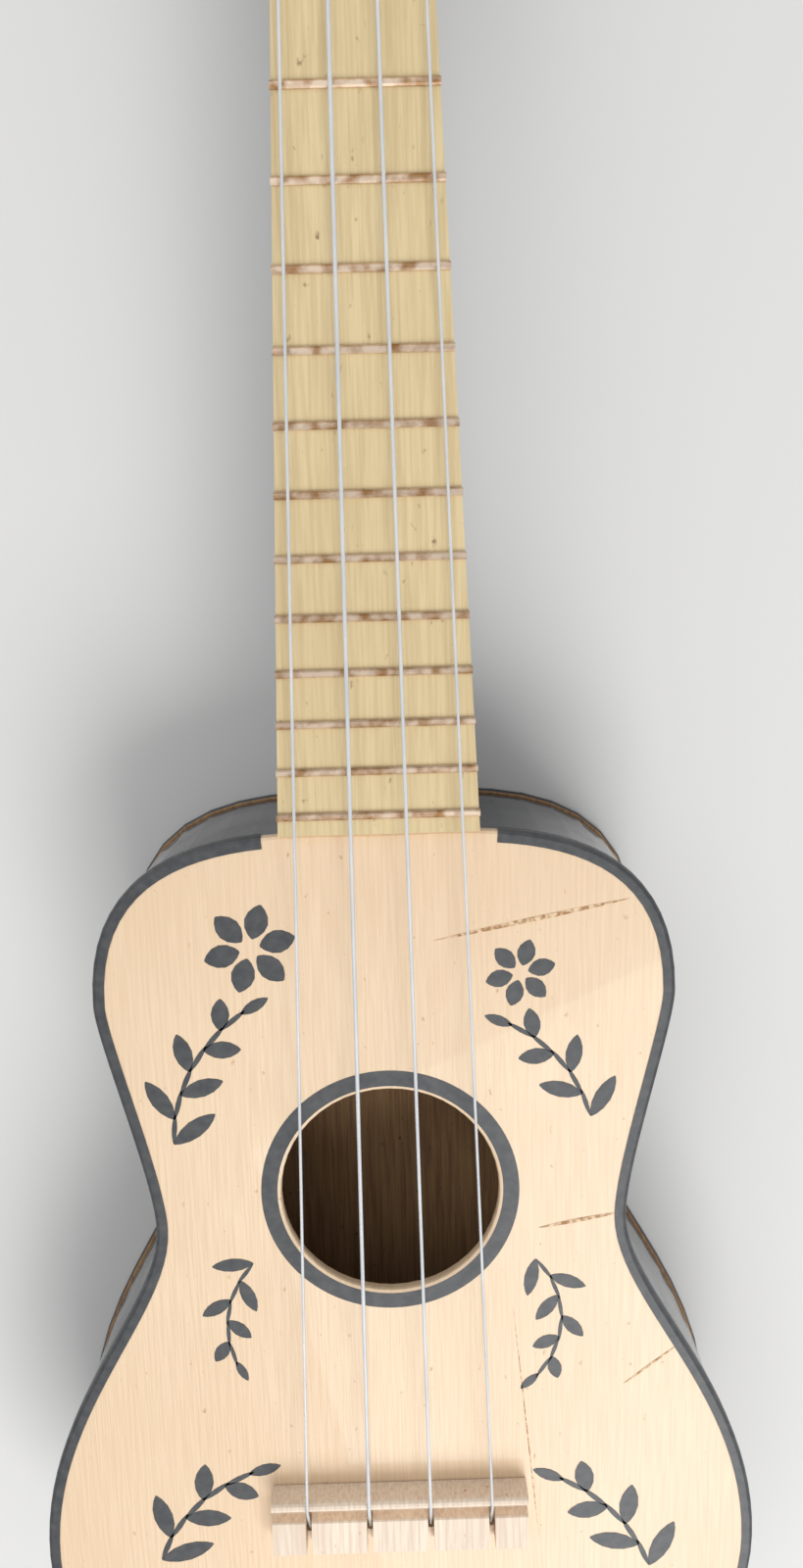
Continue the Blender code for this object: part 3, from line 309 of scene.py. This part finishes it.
# The nut and the tuners' buttons are moulded cream plastic, the nut glued across the end of
# the fretboard and each button held on its post by a screw.
cream, cream_shader = finish("cream_plastic", (0.80, 0.74, 0.58), 0.32)
mottled(cream, cream_shader, 90.0, 3.0, 0.3, 0.75, (0.82, 0.76, 0.60), (0.72, 0.63, 0.44))
dress(cream, "nut", *[f"tuner_{s}_button" for s in STRING_NAMES])

# The ring round the soundhole is a thin film of charcoal paint on the soundboard, laid a
# hair above it, as all the painted decoration is.
FILM = 0.00006
FILM_Z = TOP_Z + 0.00001
HOLE_Y = 0.0385
RING_OUTER, RING_INNER = 0.0303, 0.0265
RING_STEPS = 96
paint, paint_shader = finish("charcoal_paint", (0.052, 0.055, 0.060), 0.45)
mottled(paint, paint_shader, 400.0, 4.0, 0.35, 0.75, (0.045, 0.048, 0.054), (0.085, 0.085, 0.085))


def painted(name, shape, coat, wraps=False):
    """Gives a shape the thickness of a film, straight up unless it wraps, and fixes it to the body."""
    bmesh.ops.recalc_face_normals(shape, faces=shape.faces)
    if wraps:
        bmesh.ops.solidify(shape, geom=shape.faces[:], thickness=FILM)
    else:
        pushed = bmesh.ops.extrude_face_region(shape, geom=shape.faces[:])["geom"]
        risen = [item for item in pushed if isinstance(item, bmesh.types.BMVert)]
        bmesh.ops.translate(shape, verts=risen, vec=(0, 0, FILM))
    bmesh.ops.recalc_face_normals(shape, faces=shape.faces)
    mesh = bpy.data.meshes.new(name)
    shape.to_mesh(mesh)
    shape.free()
    mesh.materials.append(coat)
    piece = bpy.data.objects.new(name, mesh)
    bpy.context.scene.collection.objects.link(piece)
    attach(piece, "root")


ring = bmesh.new()
turns = [2 * math.pi * i / RING_STEPS for i in range(RING_STEPS)]
ring_edges = []
for radius in (RING_OUTER, RING_INNER):
    verts = [ring.verts.new((radius * math.cos(a), HOLE_Y + radius * math.sin(a), FILM_Z)) for a in turns]
    ring_edges += [ring.edges.new((verts[i], verts[(i + 1) % RING_STEPS])) for i in range(RING_STEPS)]
bmesh.ops.bridge_loops(ring, edges=ring_edges)
painted("soundhole_ring", ring, paint)

# The stripe of the same paint wraps over the soundboard's rounded edge and ends near the
# fretboard's corners. The body's edge is four curves on each side, and the stripe's rows
# are (inset from the edge, height over the soundboard's face).
TAIL_Y = -0.125
EDGE_CURVES = (((0, 0.125), (0.0206, 0.125), (0.0662, 0.1304), (0.0662, 0.0862)),
               ((0.0662, 0.0862), (0.0662, 0.0777), (0.0554, 0.0436), (0.0554, 0.0306)),
               ((0.0554, 0.0306), (0.0554, 0.0092), (0.0878, -0.0171), (0.0878, -0.0587)),
               ((0.0878, -0.0587), (0.0878, -0.0957), (0.0500, -0.125), (0, -0.125)))
BOARD_CORNER = 0.0228
STRIPE_ROWS = ((-0.00012, -0.0031), (-0.00012, -0.0008), (0.00014, -0.00014),
               (0.0008, 0.00012), (0.0027, 0.00012))


def edge_half(inset, steps=24):
    """Treble half of the body's edge, moved inwards, from the neck to the tail."""
    points = []
    for curve_points in EDGE_CURVES:
        a, b, c, d = (Vector(p) for p in curve_points)
        for step in range(steps):
            t = step / steps
            s = 1 - t
            point = a * s**3 + b * 3 * s * s * t + c * 3 * s * t * t + d * t**3
            along = ((b - a) * s * s + (c - b) * 2 * s * t + (d - c) * t * t).normalized()
            points.append(point + Vector((along.y, -along.x)) * inset)
    return points + [Vector((0, TAIL_Y + inset))]


shown = [i for i, p in enumerate(edge_half(0.0)) if p.x > BOARD_CORNER or p.y < 0]
rows = []
for inset, rise in STRIPE_ROWS:
    edge = edge_half(inset)
    half = [(edge[i].x, edge[i].y, TOP_Z + rise) for i in shown]
    rows.append(half + [(-x, y, z) for x, y, z in reversed(half[:-1])])
stripe = bmesh.new()
across, lengthwise = len(STRIPE_ROWS) - 1, len(rows[0]) - 1
bmesh.ops.create_grid(stripe, x_segments=lengthwise, y_segments=across, size=1.0)
for vert in stripe.verts:
    step = round((vert.co.x + 1) / 2 * lengthwise)
    row = round((vert.co.y + 1) / 2 * across)
    vert.co = rows[row][step]
painted("edge_stripe", stripe, paint, wraps=True)

# Sprigs of leaves and blossoms stencilled on the soundboard in the same paint. A sprig is
# (x, y, angle, bend, leaves, step, leaf size), a blossom is (x, y, petals, size), and the
# angles are in degrees.
LEAF_POINT = 1.7
LEAF_SPREAD = 48
BLOSSOM_TURN = 14
SPRIGS = ((-0.050, 0.052, 84, -9, 6, 0.0062, 0.0125), (0.047, 0.056, 108, 10, 5, 0.0060, 0.0115),
          (-0.0330, 0.0210, 232, 13, 5, 0.0056, 0.0100), (0.0340, 0.0200, 306, -14, 6, 0.0056, 0.0100),
          (-0.060, -0.060, 66, -10, 5, 0.0068, 0.0140), (0.062, -0.066, 112, 9, 5, 0.0068, 0.0140),
          (-0.012, -0.092, 182, -8, 6, 0.0062, 0.0110), (0.014, -0.092, -4, 8, 6, 0.0062, 0.0110))
BLOSSOMS = ((-0.030, 0.099, 6, 0.0105), (0.031, 0.0915, 6, 0.0080), (-0.056, -0.074, 7, 0.0120),
            (0.056, -0.080, 7, 0.0120), (0.000, -0.092, 6, 0.0080))


def leaf(shape, x, y, degrees, length, width):
    """A pointed leaf that starts at x, y and points the way the angle says."""
    made = bmesh.ops.create_circle(shape, cap_ends=True, segments=14, radius=1.0)["verts"]
    turn_leaf = Matrix.Translation((x, y, FILM_Z)) @ Matrix.Rotation(math.radians(degrees), 4, "Z")
    for vert in made:
        aside = math.copysign(abs(vert.co.y) ** LEAF_POINT, vert.co.y) * width / 2
        vert.co = turn_leaf @ Vector(((vert.co.x + 1) / 2 * length, aside, 0))


def sprig(shape, x, y, degrees, bend, count, step, size):
    """A curved stem of short strokes, with leaves that stand off it by turns."""
    for i in range(count):
        leaf(shape, x, y, degrees, step * 1.25, size * 0.10)
        side = 1 if i % 2 else -1
        leaf(shape, x, y, degrees + side * LEAF_SPREAD, size * (1 - 0.45 * i / count), size * 0.34)
        x += step * math.cos(math.radians(degrees))
        y += step * math.sin(math.radians(degrees))
        degrees += bend
    leaf(shape, x, y, degrees, size * 0.6, size * 0.22)


def blossom(shape, x, y, petals, size):
    """Petals round an open middle."""
    start = 0.22 * size
    for i in range(petals):
        angle = 360 * i / petals + BLOSSOM_TURN
        foot_x = x + start * math.cos(math.radians(angle))
        foot_y = y + start * math.sin(math.radians(angle))
        leaf(shape, foot_x, foot_y, angle, size * 0.8, size * 0.52)


sprigs = bmesh.new()
for values in SPRIGS:
    sprig(sprigs, *values)
for values in BLOSSOMS:
    blossom(sprigs, *values)
painted("stencilled_sprigs", sprigs, paint)

# Old scratches in the varnish and one fine drying crack beside the soundhole, drawn as a
# thin film of patchy brown wood. Each is (x, y, angle in degrees, length, width).
SCRATCHES = ((0.011, 0.0996, 11, 0.046, 0.0011), (0.0345, 0.028, 10, 0.020, 0.0010),
             (0.055, -0.0144, 38, 0.016, 0.0006), (0.0285, 0.008, -84.8, 0.066, 0.0003))
worn, worn_shader = finish("worn_through_wood", (0.50, 0.27, 0.11), 0.7)
mottled(worn, worn_shader, 700.0, 4.0, 0.40, 0.60, (0.86, 0.64, 0.42), (0.42, 0.22, 0.09))
scratches = bmesh.new()
for values in SCRATCHES:
    leaf(scratches, *values)
painted("scratches", scratches, worn)

# Four nylon strings, each from its knot in the bridge over the ridge and nut and nearly half
# way round its post. The wound turns above that ride on the peg. Each string is (name,
# diameter, post's place along the headstock, post's place across it).
STRINGS = (("g", 0.00070, 0.030, -0.015), ("c", 0.00090, 0.069, -0.016),
           ("e", 0.00080, 0.069, 0.016), ("a", 0.00065, 0.030, 0.015))
HEAD = Matrix.Translation((0, 0.2986, 0.0490)) @ Matrix.Rotation(math.radians(-8.0), 4, "X")
SADDLE_Y = NUT_Y - 0.330 - 0.0053
SADDLE_SPREAD, NUT_SPREAD = 0.0447, 0.0282
KNOT_BEHIND_SADDLE, KNOT_RISE = 0.0093, 0.0017
RIDGE_RADIUS, RIDGE_RISE = 0.0013, 0.0057
BOARD_TOP_Z, NUT_RISE, NUT_LENGTH = 0.0525, 0.0016, 0.004
CLEARANCE = 0.00018
POST_RADIUS = 0.0030
FIRST_LEVEL = 0.0032
FLAT_TURN = math.radians(170)
FLAT_STEPS = 24
WOUND_TURNS = 3
WOUND_STEPS = 108
WOUND_GAP = 0.00045
TAIL_END = 0.0075
nylon, nylon_shader = finish("clear_nylon", (0.86, 0.88, 0.90), 0.22)
nylon_shader.inputs["Transmission Weight"].default_value = 0.25
mottled(nylon, nylon_shader, 300.0, 2.0, 0.3, 0.7, (0.90, 0.91, 0.92), (0.74, 0.78, 0.82),
        stretch=(1.0, 0.2, 1.0))


def strung(name, points, radius, body, node):
    curve = bpy.data.curves.new(name, "CURVE")
    curve.dimensions = "3D"
    curve.bevel_depth = radius
    curve.bevel_resolution = 4
    curve.use_fill_caps = True
    line = curve.splines.new("POLY")
    line.points.add(len(points) - 1)
    for slot, point in zip(line.points, points):
        slot.co = (*point, 1.0)
    curve.materials.append(nylon)
    piece = bpy.data.objects.new(name, curve)
    bpy.context.scene.collection.objects.link(piece)
    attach(piece, body)
    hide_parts(node)


for index, (name, diameter, post_along, post_aside) in enumerate(STRINGS):
    radius = diameter / 2
    share = index / (len(STRINGS) - 1) - 0.5
    at_saddle, at_nut = SADDLE_SPREAD * share, NUT_SPREAD * share
    side = 1 if post_aside > 0 else -1
    peg = HEAD @ Matrix.Translation((post_aside, post_along, 0))
    reach = POST_RADIUS + radius + CLEARANCE
    first = math.pi if side > 0 else 0.0
    points = [Vector((at_saddle, SADDLE_Y - KNOT_BEHIND_SADDLE, TOP_Z + KNOT_RISE))]
    arc = RIDGE_RADIUS + radius + CLEARANCE
    for degrees in (60, 75, 90):
        angle = math.radians(degrees)
        points.append(Vector((at_saddle, SADDLE_Y - arc * math.cos(angle),
                              TOP_Z + RIDGE_RISE + arc * math.sin(angle))))
    nut_z = BOARD_TOP_Z + NUT_RISE + radius + CLEARANCE
    points += [Vector((at_nut, NUT_Y, nut_z)), Vector((at_nut, NUT_Y + NUT_LENGTH, nut_z))]
    for i in range(FLAT_STEPS + 1):
        angle = first - side * FLAT_TURN * i / FLAT_STEPS
        points.append(peg @ Vector((reach * math.cos(angle), reach * math.sin(angle), FIRST_LEVEL)))
    strung(f"nylon_string_{name}", points, radius, "root", f"string_{name}")

    # The turns climb the post, then the end bends inwards and passes through it.
    pitch = diameter + WOUND_GAP
    level = FIRST_LEVEL + (WOUND_TURNS + 1) * pitch
    full = 2 * WOUND_TURNS * math.pi
    mouth = first - side * (FLAT_TURN + full)
    bend = diameter * 1.4
    points = []
    for i in range(WOUND_STEPS + 1):
        swept = full * i / WOUND_STEPS
        if swept > full - bend / reach:
            break
        angle = first - side * (FLAT_TURN + swept)
        points.append(peg @ Vector((reach * math.cos(angle), reach * math.sin(angle),
                                    FIRST_LEVEL + pitch * (1 + swept / (2 * math.pi)))))
    outward = Vector((math.cos(mouth), math.sin(mouth), 0))
    onward = Vector((math.sin(mouth), -math.cos(mouth), 0)) * side
    for degrees in (15, 30, 45, 60, 75, 90):
        angle = math.radians(degrees)
        corner = outward * (reach - bend + bend * math.cos(angle)) - onward * bend * (1 - math.sin(angle))
        points.append(peg @ (corner + Vector((0, 0, level))))
    points.append(peg @ Vector((0, 0, level)))
    points.append(peg @ (-outward * TAIL_END + Vector((0, 0, level))))
    strung(f"wound_turns_{name}", points, radius, f"peg_{name}", f"string_{name}_winding")
